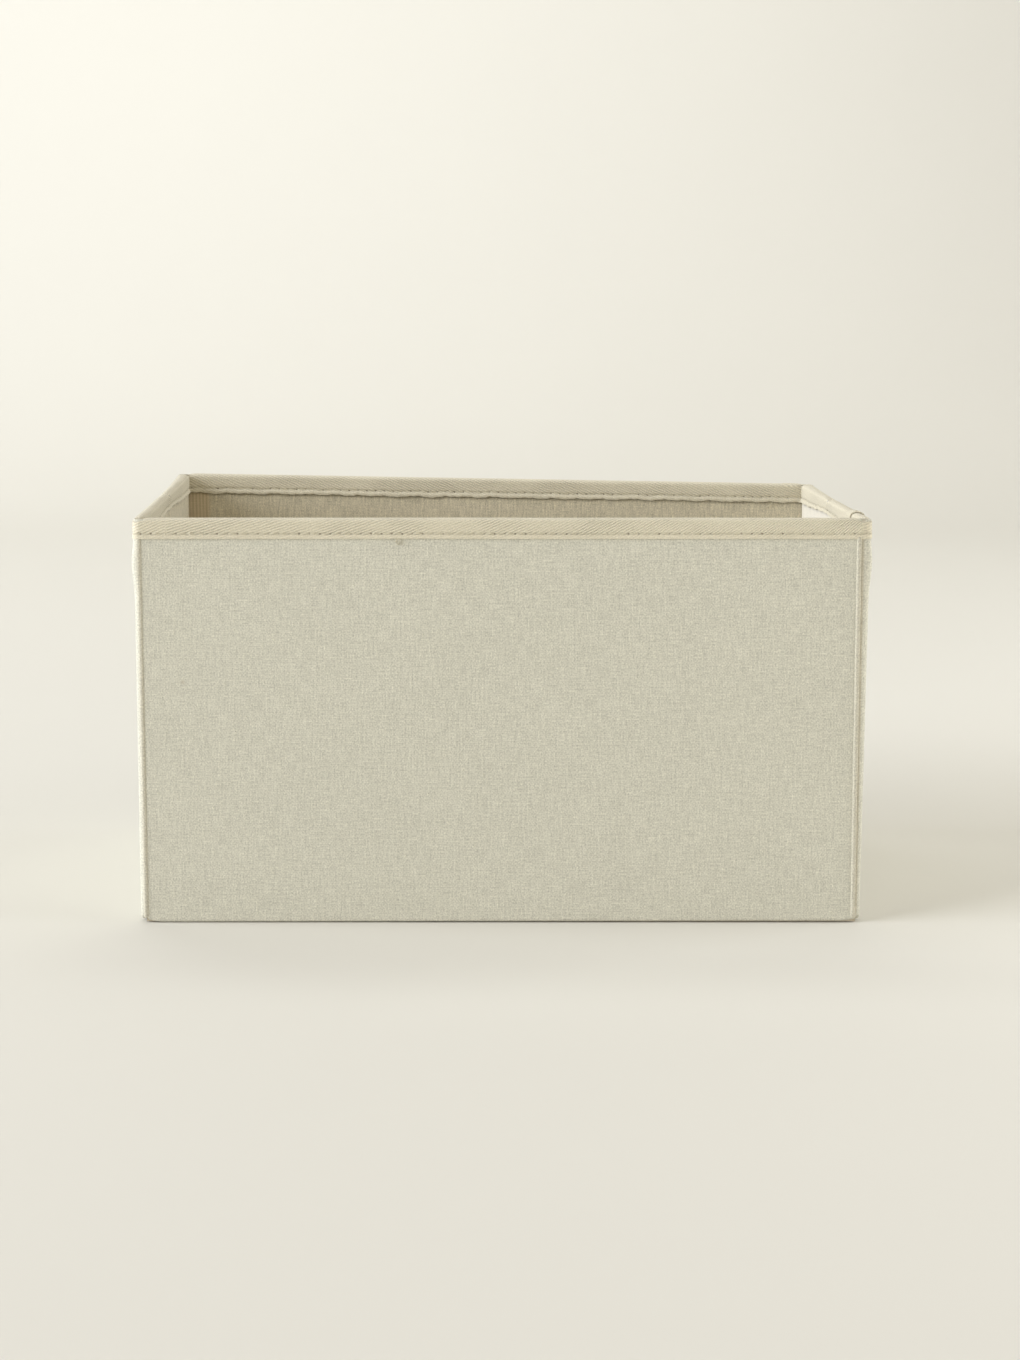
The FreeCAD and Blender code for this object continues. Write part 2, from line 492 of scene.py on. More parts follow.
def colour_of(red, green, blue):
    """A shader colour from display values 0 to 255."""
    def linear(value):
        value /= 255
        return value / 12.92 if value <= 0.04045 else ((value + 0.055) / 1.055) ** 2.4

    return (linear(red), linear(green), linear(blue), 1.0)


def plain_weave(graph, u, v):
    """Height of the threads, about 0 to 1, and which of warp and weft is on top, -1 to 1."""
    turn_u = graph.times(u, math.pi / WARP_PITCH)
    turn_v = graph.times(v, math.pi / WEFT_PITCH)
    wander = graph.swing(graph.noise(u, v, 170, 170, seed=5.0), 3.2)
    sine_u = graph.math("SINE", graph.total(turn_u, wander))
    sine_v = graph.math("SINE", graph.total(turn_v, wander))
    over = graph.times(sine_u, sine_v)
    lean = graph.times(over, 0.4)
    warp = graph.times(graph.math("ABSOLUTE", sine_u), graph.total(0.55, lean))
    weft = graph.times(graph.math("ABSOLUTE", sine_v), graph.minus(0.45, lean))
    return graph.math("MAXIMUM", warp, weft), over


def slubbed_cloth(name, colour, seed, upright=1.0, finish=None):
    """Plain weave with slubs along the warp, uneven weft, and white neps.
    upright scales the warp's contrast; finish(graph, u, v, shade) recolours some places."""
    graph = Graph(name)
    u, v = graph.uv()
    weave, over = plain_weave(graph, u, v)
    across, along, slub = 900, 120, 34  # cycles per metre across a thread, along it, along a slub
    warp_fine = graph.noise(u, v, across, along, 1.0, seed)
    warp_slub = graph.noise(u, v, across, slub, 1.0, seed + 1)
    weft_fine = graph.noise(u, v, along, across, 1.0, seed + 2)
    grain = graph.noise(u, v, 1450, 1150, 1.0, seed + 3)
    cloudy = graph.noise(u, v, 22, 22, 3.0, seed + 4)
    neps = graph.ramp(graph.noise(u, v, 420, 420, 0.0, seed + 5), 0.80, 0.86)
    brightness = graph.total(
        0.945,
        graph.times(weave, 0.05),
        graph.times(over, 0.03),
        graph.swing(warp_fine, 0.30 * upright),
        graph.swing(warp_slub, 0.06 * upright),
        graph.swing(weft_fine, 0.24),
        graph.swing(grain, 0.82),
        graph.swing(cloudy, 0.06),
        graph.times(neps, 0.14),
    )
    shade = graph.tint(colour, brightness)
    if finish is not None:
        shade = finish(graph, u, v, shade)
    height = graph.total(
        graph.times(weave, 0.08),
        graph.swing(warp_fine, 0.08),
        graph.swing(weft_fine, 0.05),
        graph.swing(cloudy, 0.04),
        graph.times(neps, 0.15),
    )
    return graph.finish(shade, height)


def lining_edges(graph, u, v, shade):
    """A darker, browner ribbed band at the back left inner corner, painted light that makes the right wall
    paler, and painted shade under the tape.
    """
    away = graph.apart(u, back_at(-INNER_X) - BACK_LEFT_BAND / 2)
    inside = graph.ramp(away, BACK_LEFT_BAND / 2 - 1.5 * MM, BACK_LEFT_BAND / 2 + 2 * MM, 0.8, 0.0)
    ribs = graph.times(graph.wave(u, 1.9 * MM), 0.14)
    shade = graph.mix(inside, shade, graph.tint(BROWN, graph.total(0.95, ribs)))
    # painted light: the right wall's lining is mixed towards a paler colour where the light from the left
    # falls on it
    away = graph.apart(u, (STOPS[2] + STOPS[3]) / 2)
    reach = (STOPS[3] - STOPS[2]) / 2
    shade = graph.mix(graph.ramp(away, reach, reach + 2 * MM, 0.7, 0.0), shade, RIGHT_WALL_PAINTED_LIGHT)
    # painted shade: the lining is darkened just below the tape's lower edge
    _, below = graph.uv("Tape")
    return graph.tint(shade, graph.ramp(below, 0.0, 2.2 * MM, 0.72, 1.0))


def cover_edges(graph, u, v, shade):
    """Painted shade: a tan line in the gap beside three corner ridges; and a faint spot at the front's
    left.
    """
    # painted shade: a tan line where the gap beside each corner ridge falls in shadow
    for corner in (STOPS[1], STOPS[4], STOPS[5]):
        away = graph.apart(u, corner + SEAM_SHADE_OFFSET)
        shade = graph.mix(graph.ramp(away, 0.2 * MM, 0.7 * MM, 0.3, 0.0), shade, SEAM_SHADE_AND_SPOT)
    along, up = graph.minus(u, front_at(SPOT[0])), graph.minus(v, SPOT[1])
    reach = graph.math("SQRT", graph.total(graph.times(along, along), graph.times(up, up)))
    return graph.mix(graph.ramp(reach, 0.3 * MM, 1.4 * MM, 0.25, 0.0), shade, SEAM_SHADE_AND_SPOT)


STITCH_DEPTH = RIM - OUTER_LOW - STITCH_RISE + 1 * MM  # from the middle of the rim, along the tape


def herringbone(name, colour):
    """Twill tape whose ribs meet in a chevron on the rim, with painted shade in needle holes along the
    stitch line.
    """
    graph = Graph(name)
    u, across = graph.uv()
    sheared, _ = graph.uv("Ribs")
    from_rim = graph.math("ABSOLUTE", across)
    phase = graph.math("DIVIDE", graph.total(from_rim, sheared), RIB_PITCH)
    wander = graph.swing(graph.noise(u, across, 260, 260, 1.0, 2.0), 0.5)
    rib = graph.wave(graph.total(phase, wander), 1)
    bold = graph.ramp(graph.noise(u, across, 45, 90, 1.0, 6.0), 0.3, 0.7, 0.55, 1.3)
    rib = graph.times(rib, bold)
    threads = graph.wave(u, 0.55 * MM)
    grain = graph.noise(u, across, 1300, 1300, 1.0, 4.0)
    cloudy = graph.noise(u, across, 30, 60, 2.0, 9.0)
    # needle holes: one dot of painted shade per stitch, each with its own depth
    step = graph.math("DIVIDE", u, STITCH_PITCH)
    along = graph.times(graph.minus(graph.math("FRACT", step), 0.5), STITCH_PITCH)
    below = graph.minus(from_rim, STITCH_DEPTH)
    high = graph.times(below, graph.times(below, 2.2))
    reach = graph.math("SQRT", graph.total(graph.times(along, along), high))
    chance = graph.noise(graph.math("FLOOR", step), 0.0, 7.31, 0.0, 0.0, 3.0)
    depth = graph.ramp(chance, 0.34, 0.62, 0.12, 0.95)
    shaded_hole = graph.times(graph.ramp(reach, 0.25 * MM, 0.75 * MM, 1.0, 0.0), depth)
    # the thread pulls a shallow channel, darkened with painted shade; the hem below it is smoother, and
    # inside the bin painted lighter as a highlight where light falls on its top
    shaded_channel = graph.ramp(graph.math("ABSOLUTE", below), 0.2 * MM, 0.9 * MM, 1.0, 0.0)
    hem = graph.ramp(below, 0.3 * MM, 1.0 * MM)
    # painted highlight: the hem inside the bin is lighter where light falls on its top
    lip = graph.times(hem, graph.ramp(across, -1 * MM, 1 * MM, 0.03, 0.0))
    rib = graph.times(rib, graph.minus(1.0, graph.times(hem, 0.65)))
    brightness = graph.total(
        0.97,
        graph.times(rib, 0.13),
        graph.times(threads, 0.02),
        graph.swing(grain, 0.45),
        graph.swing(cloudy, 0.10),
        graph.times(shaded_channel, -0.05),
        graph.times(hem, -0.01),
        lip,
    )
    shade = graph.mix(graph.times(shaded_hole, 0.75), graph.tint(colour, brightness), HOLE_SHADE)
    height = graph.total(
        graph.times(rib, 0.11),
        graph.times(threads, 0.03),
        graph.swing(grain, 0.10),
        graph.times(shaded_channel, -0.12),
        graph.times(shaded_hole, -0.3),
    )
    return graph.finish(shade, height)


def twisted_thread(name, colour):
    """Sewing thread with a fine twist along its length."""
    graph = Graph(name)
    u, v = graph.uv()
    twist = graph.wave(graph.total(u, v), 0.5 * MM)
    brightness = graph.total(0.98, graph.times(twist, 0.05))
    return graph.finish(graph.tint(colour, brightness), graph.times(twist, 0.03), 0.75, 0.2)


def greyboard(name, colour):
    """Pressed recycled board with flecks and soft mottling."""
    graph = Graph(name)
    x, y, z = graph.place()
    along = graph.total(x, y)
    flecks = graph.noise(along, z, 900, 900, 3.0, 1.0)
    mottle = graph.noise(along, z, 60, 60, 3.0, 2.0)
    brightness = graph.total(1.0, graph.swing(flecks, 0.25), graph.swing(mottle, 0.15))
    return graph.finish(graph.tint(colour, brightness), graph.swing(flecks, 0.1), 0.85, 0.0)


COVER_COLOUR = colour_of(201, 199, 184)
LINING_COLOUR = colour_of(201, 193, 170)
SEAM_COLOUR = colour_of(196, 192, 175)
TAPE_COLOUR = colour_of(210, 203, 181)
THREAD_COLOUR = colour_of(201, 194, 170)
BOARD_COLOUR = colour_of(176, 166, 146)
STAGE_COLOUR = colour_of(215, 213, 205)
RIGHT_WALL_PAINTED_LIGHT = colour_of(228, 224, 213)  # painted light: the right wall's lining, drawn paler where the light from the left falls on it
BROWN = colour_of(195, 178, 147)  # the band at the lining's back left inner corner
SEAM_SHADE_AND_SPOT = colour_of(158, 139, 105)  # painted shade in the gaps beside three corner ridges, and the colour of the spot
HOLE_SHADE = colour_of(92, 78, 54)  # painted shade in the needle holes
SEAM_SHADE_OFFSET = 0.4 * MM  # where the painted seam shade lies, from the corner's start along the ring
SPOT = (-153 * MM, 123 * MM)  # its x and its height on the front

cover_cloth = slubbed_cloth("linen_cover", COVER_COLOUR, 1.0, 1.0, cover_edges)
lining_cloth = slubbed_cloth("lining_cloth", LINING_COLOUR, 20.0, 2.0, lining_edges)
base_cloth = slubbed_cloth("base_lining_cloth", LINING_COLOUR, 30.0)
bottom_cloth = slubbed_cloth("bottom_cloth", COVER_COLOUR, 40.0)
seam_cloth = slubbed_cloth("seam_allowance", SEAM_COLOUR, 60.0, 0.7)
tape_cloth = herringbone("binding_tape", TAPE_COLOUR)
thread = twisted_thread("sewing_thread", THREAD_COLOUR)
board = greyboard("greyboard", BOARD_COLOUR)


# Placing: every piece rides on one body, except the corner and crease pieces, which stay unparented

# Corner pieces: long wall, half wall, and the signs that mirror the two places
FOLDS = {
    "right_front": ("front", "right_front", 1, 1),
    "left_back": ("back", "left_back", -1, -1),
    "left_front": ("front", "left_front", -1, 1),
}
# Crease pieces: front half wall, back half wall, side
CREASES = {
    "right_crease": ("right_front", "right_back", 1),
    "left_crease": ("left_front", "left_back", -1),
}


def attach(thing, part):
    """Puts a wall piece on its body; a corner or crease piece only has its transform baked in."""
    if part in FOLDS:
        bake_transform(thing)
    elif part in CREASES:
        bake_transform(thing)
    else:
        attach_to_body(thing, "back" if part == "back_right_corner" else part)


def stand_for(thing, body, node):
    """A rigid piece that replaces one CAD node."""
    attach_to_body(thing, body)
    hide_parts(node)


SLEEVE_END = right_at(-CORNER.y - 2.5 * MM)
# The cover's parts, and the stretch of the ring that each covers
COVER_PARTS = {
    "front": (0, STOPS[1]),
    "right_front": (STOPS[1], right_at(-CREASE_HALF)),
    "right_crease": (right_at(-CREASE_HALF), right_at(CREASE_HALF)),
    "right_back": (right_at(CREASE_HALF), right_at(-CORNER.y)),
    "back_right_corner": (SLEEVE_END, STOPS[4]),
    "back": (STOPS[4], STOPS[5]),
    "left_back": (STOPS[5], left_at(CREASE_HALF)),
    "left_crease": (left_at(CREASE_HALF), left_at(-CREASE_HALF)),
    "left_front": (left_at(-CREASE_HALF), STOPS[8]),
}
# The same for lining, tape and thread, whose corner pieces start further in
LAYER_PARTS = COVER_PARTS | {
    "front": (front_at(-TAPE_END), front_at(TAPE_END)),
    "right_front": (front_at(TAPE_END), right_at(-CREASE_HALF)),
    "back_right_corner": (SLEEVE_END, back_at(TAPE_END)),
    "back": (back_at(TAPE_END), back_at(-TAPE_END)),
    "left_back": (back_at(-TAPE_END), left_at(CREASE_HALF)),
    "left_front": (left_at(-CREASE_HALF), ROUND + front_at(-TAPE_END)),
}
OPEN_PIVOT = np.array([CORNER.x, -CORNER.y])


def knuckle(grid):
    """Goes on past the last column, round the open pivot and inside the corner piece."""
    last = grid[-1]
    turns = []
    for angle in np.radians(np.arange(8, FOLD_DEGREES + 1, 8)):
        shrink = 1 - 0.2 * angle / math.radians(FOLD_DEGREES)
        x, y = ((last[:, :2] - OPEN_PIVOT) * shrink).T
        cosine, sine = math.cos(angle), math.sin(angle)
        turned = np.stack([x * cosine - y * sine, x * sine + y * cosine], -1)
        turns.append(np.concatenate([OPEN_PIVOT + turned, last[:, 2:]], -1))
    return np.concatenate([grid, np.array(turns)])


def sleeve_lift(u, part):
    """The corner piece stands a little outside what it covers, fading towards its edge."""
    if part != "back_right_corner":
        return np.zeros_like(u)
    return SLEEVE * np.clip(0.3 + (u - SLEEVE_END) / SLEEVE_FADE, 0.3, 1)


def cover_profile():
    """Heights and inward offsets of the cover's rows, from the turned-under foot to the top."""
    angles = np.radians(np.linspace(0, 90, 7))
    foot_z = FOOT_ROUND * (1 - np.cos(angles))
    foot_in = FOOT_ROUND * (1 - np.sin(angles))
    upright = np.linspace(3 * MM, CLOTH_TOP, 52)
    rows_z = np.r_[0.3 * MM, 0.1 * MM, foot_z, upright]
    rows_in = np.r_[FOOT_RETURN, (FOOT_RETURN + FOOT_ROUND) / 2, foot_in, 0 * upright]
    return rows_z, rows_in


def near_corner(u, width):
    """1 at the middle of each corner, falling to 0 over the width."""
    total = np.zeros(np.shape(u))
    for corner in (1, 3, 5, 7):
        middle = (STOPS[corner] + STOPS[corner + 1]) / 2
        apart = (u - middle + ROUND / 2) % ROUND - ROUND / 2
        total = total + hump(apart, width)
    return total


def foot_gap(u):
    """How far the foot stands off the ground: more at the front's right end and at the corners."""
    along_front = limit(u / WALL_LENGTHS[0])
    gap = np.where(u < STOPS[1], 0.25 + 0.55 * along_front, 0.5) * MM
    return gap + CORNER_LIFT * near_corner(u, 4.2 * MM)


def cover_piece(part, start, end):
    """One stretch of the outer cloth."""
    u = columns(start, end)
    rows_z, rows_in = cover_profile()
    ring, z = np.broadcast_arrays(u[:, None], rows_z[None, :])
    plan, out = outer_surface(ring, z)
    station = station_at(ring)
    on_corner = np.where(np.floor(station) % 2 == 1, np.sin(math.pi * (station % 1)), 0.0)
    pinch = PINCH * on_corner * limit(1 - z / PINCH_HEIGHT) ** 2
    inward = rows_in[None, :] + pinch - sleeve_lift(ring, part)
    face = with_height(plan - out * inward[..., None], z)
    reverse = with_height(plan - out * (inward + CLOTH)[..., None], np.maximum(z, 0.3 * MM))
    reverse[:, :2, 2] = rows_z[:2] + 0.3 * MM
    raised = (foot_gap(ring) * limit(1 - z / LIFT_HEIGHT))[..., None] * [0, 0, 1]
    face, reverse = face + raised, reverse + raised
    if part == "right_back":
        face, reverse = knuckle(face), knuckle(reverse)
        u = np.concatenate([u, u[-1] + KNUCKLE_STEP * np.arange(1, len(face) - len(u) + 1)])
    uv = uv_grid(u, run_along(np.stack([rows_z, rows_in], -1)))
    name = part + ("_cloth" if part == "back_right_corner" else "_cover_cloth")
    thing = shell(name, face, reverse, {"UVMap": uv}, cover_cloth)
    attach(thing, part)
    return thing


def lining_piece(part, start, end):
    """One stretch of the lining."""
    u = columns(start, end)[:, None]
    rows_z = np.linspace(BASE_LOW - 2 * MM, CLOTH_TOP, 50)[None, :]
    plan, out = inner_surface(u + 0 * rows_z, rows_z + 0 * u)
    inward = 1.2 * sleeve_lift(u, part)
    reverse = with_height(plan - out * inward[..., None], rows_z)
    face = with_height(plan - out * (inward - CLOTH)[..., None], rows_z)
    uvs = {"UVMap": uv_grid(u, rows_z), "Tape": uv_grid(u, inner_edge(u) - rows_z)}
    name = part + ("_lining" if part == "back_right_corner" else "_lining_cloth")
    thing = shell(name, face, reverse, uvs, lining_cloth)
    attach(thing, part)
    return thing


# Binding tape: an upside-down U over the rim


def rib_shear(u):
    """Sideways run of the ribs, which lean more towards the right end of the front."""
    slope_left, slope_right = math.tan(math.radians(17)), math.tan(math.radians(38))
    front = WALL_LENGTHS[0]
    share = limit(u / front)
    along_front = u * slope_left + (slope_right - slope_left) * front * share**3 / 3
    return along_front + np.clip(u - front, 0, None) * 0.1


def beat(u):
    """1 at each needle hole, 0 half way between them."""
    return np.sin(math.pi * u / STITCH_PITCH) ** 2


def inner_edge(u):
    """Height of the lower edge of the tape's inner leg: wavy, and higher beside a crease."""
    side = on_side_wall(station_at(u))
    mid_depth = np.where(u < STOPS[4], u - right_at(0), u - left_at(0))
    slack = np.where(side, SLACK_LOW * hump(mid_depth, SLACK_HALF), 0)
    wave = np.where(side, 1.0 * MM, 0.8 * MM) * (swell(u, 0 * u, 7, 22) - 0.5)
    ripple = swell(u * 9, 0 * u, 6, 24)
    return INNER_LOW + slack + wave + 1.3 * MM * (ripple - 0.5) + 0.5 * MM * beat(u) * ripple


def tape_section(u, swing, lift=0.0):
    """Points, and directions away from the rim, of the tape at lengths u and section places swing.
    swing runs 0..1 up the outer leg, 1..2 over the rim and 2..3 down the inner leg."""
    u, swing = np.broadcast_arrays(u, swing)
    shoulder = RIM - TAPE_BULGE
    outer_low = OUTER_LOW + TAPE_WAVE * (swell(u, 0 * u, 6, 21) - 0.5)
    side = on_side_wall(station_at(u))
    on_outer, on_inner = swing <= 1, swing >= 2
    up = np.where(on_outer, swing, np.where(on_inner, 3 - swing, 1.0))
    low = np.where(on_inner, inner_edge(u), outer_low)
    z = low + (shoulder - low) * up
    outer_plan, outer_out = outer_surface(u, z)
    inner_plan, inner_out = inner_surface(u, z)
    # the tape is drawn in at the stitches, full above them, and curls away below them
    rise = (up - OUTER_STITCH) * (shoulder - low)
    drawn = STITCH_DRAW * hump(rise, STITCH_DRAW_HALF) * (0.6 + 0.6 * beat(u))
    lip = limit(-rise / STITCH_RISE)
    fullness = np.where(side, 0.6, 0.95) * (0.7 + 0.6 * swell(u * 7, 0 * u, 6, 25))
    curl = (fullness - 0.35 * beat(u)) * MM * np.sin(math.pi * 0.72 * lip)
    outer_off = TAPE_CLOTH + lift - drawn * 0.6 + 0.1 * MM * lip
    inner_off = TAPE_CLOTH + 0.15 * MM + lift - drawn + curl
    outer_leg = outer_plan + outer_out * outer_off[..., None]
    inner_leg = inner_plan - inner_out * inner_off[..., None]
    angle = math.pi * limit(swing - 1)
    middle, reach = (outer_leg + inner_leg) / 2, (outer_leg - inner_leg) / 2
    plan = middle + reach * np.cos(angle)[..., None]
    plan = np.where(on_outer[..., None], outer_leg, np.where(on_inner[..., None], inner_leg, plan))
    notch = NOTCH * hump(plan[..., 1], NOTCH_HALF) * side
    dip = CORNER_DIP * near_corner(u, CORNER_DIP_HALF)
    top = TAPE_BULGE + lift + TAPE_WAVE * (swell(u, 0 * u, 8, 23) - 0.5) - notch - dip
    arch = np.where(on_outer | on_inner, 0, np.sin(angle))
    z = z + arch * top
    away = np.where(on_inner[..., None], -inner_out, outer_out * np.cos(angle)[..., None])
    return with_height(plan, z), np.concatenate([away, arch[..., None]], -1)


# Section places of the two thread lines, and of the rows of points
OUTER_STITCH = STITCH_RISE / (RIM - TAPE_BULGE - OUTER_LOW)
INNER_STITCH = 3 - OUTER_STITCH
LEG_ROWS = np.array([0, 0.03, 0.08, 0.14, 0.2, 0.25, 0.29, 0.33, 0.37, 0.42, 0.5, 0.62, 0.75, 0.88, 1.0])
TAPE_ROWS = np.r_[LEG_ROWS, 1 + np.linspace(0, 1, 11)[1:], 3 - LEG_ROWS[::-1][1:]]


def tape_grids(u, lift=0.0, ends=None):
    """The tape's outer face and its underside, with softened edges, and directions outwards."""
    face, away = tape_section(u[:, None], TAPE_ROWS[None, :], lift)
    edge = np.minimum(TAPE_ROWS, 3 - TAPE_ROWS)
    thick = TAPE_CLOTH * np.clip(0.35 + edge / 0.04, 0.35, 1)[None, :]
    if ends is not None:
        thick = thick * ends[:, None]
        face = face - away * (TAPE_CLOTH * (1 - ends[:, None]) * 1.2)[..., None]
    return face, face - away * thick[..., None], away


def tape_uvs(u, face):
    """Length along the ring, and distance from the top of the rim, negative inside the bin."""
    run = run_along(face[len(face) // 2])
    run = run - np.interp(1.5, TAPE_ROWS, run)
    outer_line, inner_line = np.abs(np.interp((OUTER_STITCH, INNER_STITCH), TAPE_ROWS, run))
    run = run * np.where(run < 0, STITCH_DEPTH / outer_line, STITCH_DEPTH / inner_line)
    return {"UVMap": uv_grid(u, run), "Ribs": uv_grid(rib_shear(u), run)}


def tape_piece(part, start, end):
    """One stretch of the binding tape."""
    u = columns(start, end, 1.2 * MM)
    face, reverse, away = tape_grids(u)
    lift = away * sleeve_lift(u, part)[:, None, None]
    face, reverse = face + lift, reverse + lift
    uvs = tape_uvs(u, face)
    if part == "right_back":
        face, reverse = knuckle(face), knuckle(reverse)
        steps = KNUCKLE_STEP * np.arange(1, len(face) - len(u) + 1)[:, None, None] * [1, 0]
        uvs = {key: np.concatenate([value, value[-1:] + steps]) for key, value in uvs.items()}
    thing = shell(part + "_binding_tape", face, reverse, uvs, tape_cloth)
    attach(thing, part)
    return thing


def lap_piece():
    """The tape's free end, folded under and sewn down over its start; its front edge gapes."""
    width = LAP_Y[1] - LAP_Y[0]
    share = np.r_[0, 0.01, 0.03, 0.06, np.linspace(0.12, 0.88, 9), 0.94, 0.97, 0.99, 1]
    u = right_at(LAP_Y[0]) + width * share
    gape = np.interp(TAPE_ROWS, [0, 0.6, 1.2, 1.7, 2.2, 3], [0, 0.05, 0.9, 1, 0.4, 0.2])
    lift = (0.64 + 0.16 * gape[None, :] * (1 - share[:, None]) ** 0.8) * MM
    ends = np.clip(0.25 + (1 - share) * width / (1.2 * MM), 0.25, 1)
    face, reverse, _ = tape_grids(u, lift, ends)
    thing = shell("right_front_binding_lap", face, reverse, tape_uvs(u, face), tape_cloth)
    stand_for(thing, "right_front", "right_front_binding_overlap")


# Sewing thread


def tube(path, radius):
    """Points, faces and UVs of a tube along a path, closed by its shrinking ends."""
    sides = 8
    ahead = np.gradient(path, axis=0)
    ahead /= np.linalg.norm(ahead, axis=1, keepdims=True)
    helper = np.array([0.0, 0.0, 1.0] if abs(ahead[0, 2]) < 0.9 else [1.0, 0.0, 0.0])
    side = np.cross(ahead, helper)
    side /= np.linalg.norm(side, axis=1, keepdims=True)
    up = np.cross(side, ahead)
    turn = np.linspace(0, 2 * math.pi, sides, endpoint=False)
    place = np.linspace(-1, 1, len(path))
    size = radius * np.sqrt(np.clip(1 - np.abs(place) ** 6, 0.02, 1))
    rings = path[:, None] + size[:, None, None] * (
        side[:, None] * np.cos(turn)[None, :, None] + up[:, None] * np.sin(turn)[None, :, None]
    )
    number = np.arange(len(path) * sides).reshape(len(path), sides)
    ahead_ring = np.roll(number, -1, axis=1)
    faces = np.stack([number[:-1], number[1:], ahead_ring[1:], ahead_ring[:-1]], -1).reshape(-1, 4).tolist()
    faces += [number[0].tolist(), number[-1][::-1].tolist()]
    return rings.reshape(-1, 3), faces, uv_grid(run_along(path), turn * radius).reshape(-1, 2)


def join_tubes(name, tubes, material):
    """One mesh object from several tubes."""
    points, faces, uvs, first = [], [], [], 0
    for tube_points, tube_faces, tube_uv in tubes:
        points.append(tube_points)
        faces += [[index + first for index in face] for face in tube_faces]
        uvs.append(tube_uv)
        first += len(tube_points)
    return build_mesh(name, settle(np.concatenate(points)), faces, {"UVMap": np.concatenate(uvs)}, material)


def stitch_piece(part, start, end):
    """Both faces of the lockstitch row along one stretch of tape."""
    draw = np.random.default_rng(round(start / MM))
    tubes = []
    share = np.linspace(-1, 1, 9)
    first = math.ceil(start / STITCH_PITCH + 0.5)
    last = math.floor(end / STITCH_PITCH - 0.5)
    for place in (OUTER_STITCH, INNER_STITCH):
        for index in range(first, last + 1):
            along = index * STITCH_PITCH + STITCH_LENGTH / 2 * share
            if part == "back_right_corner" and along[0] < SLEEVE_END + 1 * MM:
                continue  # no stitch over the sleeve's edge
            path, away = tape_section(along, np.full(len(share), place))
            # the ends dip into the tape, and no two stitches are alike
            arch = STITCH_ARCH * (1 - share**4) - STITCH_DIP + draw.normal(0, STITCH_UNEVEN) * MM
            path = path + away * arch[:, None]
            path[:, 2] += share * draw.normal(0.0, STITCH_LEAN) * MM
            tubes.append(tube(path, THREAD_RADIUS))
    for loose in LOOSE_THREADS.get(part, []):
        tubes.append(tube(loose_path(*loose), 0.8 * THREAD_RADIUS))
    thing = join_tubes(part + "_stitching", tubes, thread)
    attach(thing, part)
    return thing


def loose_path(u, inside, reach, drop):
    """A loose thread end that comes out below the stitches and curls down the cloth."""
    t = np.linspace(0, 1, 14)
    surface = inner_surface if inside else outer_surface
    z = (INNER_LOW if inside else OUTER_LOW) + 0.4 * MM - drop * np.sin(t * 1.9) / math.sin(1.9)
    plan, out = surface(u + reach * t, z)
    away = (-1 if inside else 1) * (0.9 * MM - 0.5 * MM * t + 0.3 * MM * np.sin(t * 5))
    return with_height(plan + out * np.reshape(away, (-1, 1)), z)


# Loose thread ends: length along the ring, inside or not, reach along the ring, drop
LOOSE_THREADS = {
    "front": [
        (front_at(-48.6 * MM), False, -2.6 * MM, 1.5 * MM),
        (front_at(-48.2 * MM), False, -1.4 * MM, 2.9 * MM),
        (front_at(-49.8 * MM), False, 0.3 * MM, 2.6 * MM),
    ],
    "back": [(back_at(155 * MM), True, 5.0 * MM, 3.4 * MM)],
}

# Corner seams: the side cloth's turned edge stands as a ridge beside each corner
SEAM_WIDTH = 2.2 * MM


def seam_piece(node, u_edge, direction, height, body):
    """A rounded ridge up the corner, from the foot to under the tape."""
    z = np.r_[np.linspace(2.5 * MM, 7 * MM, 8), np.linspace(9 * MM, TAPE_LOW + 2 * MM, 60)]
    profile = np.linspace(0, 1, 11)
    u, z = np.broadcast_arrays(u_edge - direction * (1 - profile[:, None]) * SEAM_WIDTH, z[None, :])
    plan, out = outer_surface(u, z)
    uneven = 0.85 + 0.3 * swell(z * 5, z, 4, 31)
    lift = 0.1 * MM + height * np.sin(math.pi * profile[:, None]) ** 0.7 * uneven
    lift = lift - PINCH * limit(1 - z / PINCH_HEIGHT) ** 2
    face = with_height(plan + out * lift[..., None], z)
    reverse = with_height(plan + out * (lift - 0.5 * MM)[..., None], z)
    uv = np.stack([u, z], -1)
    if direction < 0:
        face, reverse, uv = face[::-1], reverse[::-1], uv[::-1]
    thing = shell(node + "_ridge", face, reverse, {"UVMap": uv}, seam_cloth)
    stand_for(thing, body, node)


# Base


def base_sheet(node, corners, high, body, material):
    """A slightly padded, softly wrinkled cloth over a four-sided outline."""
    steps = 40
    s, t = np.meshgrid(np.linspace(0, 1, steps * 2), np.linspace(0, 1, steps), indexing="ij")
    a, b, c, d = (np.array(corner) for corner in corners)
    bump = np.sin(math.pi * s) * np.sin(math.pi * t)
    s, t = s[..., None], t[..., None]
    plan = (a * (1 - s) + b * s) * (1 - t) + (d * (1 - s) + c * s) * t
    z = high + 0.35 * MM * bump * swell(plan[..., 0] * 3, plan[..., 1], 6, 41)
    face, reverse = with_height(plan, z), with_height(plan, z - CLOTH)
    thing = shell(node + "_cloth", face, reverse, {"UVMap": plan}, material)
    stand_for(thing, body, node)
    return thing


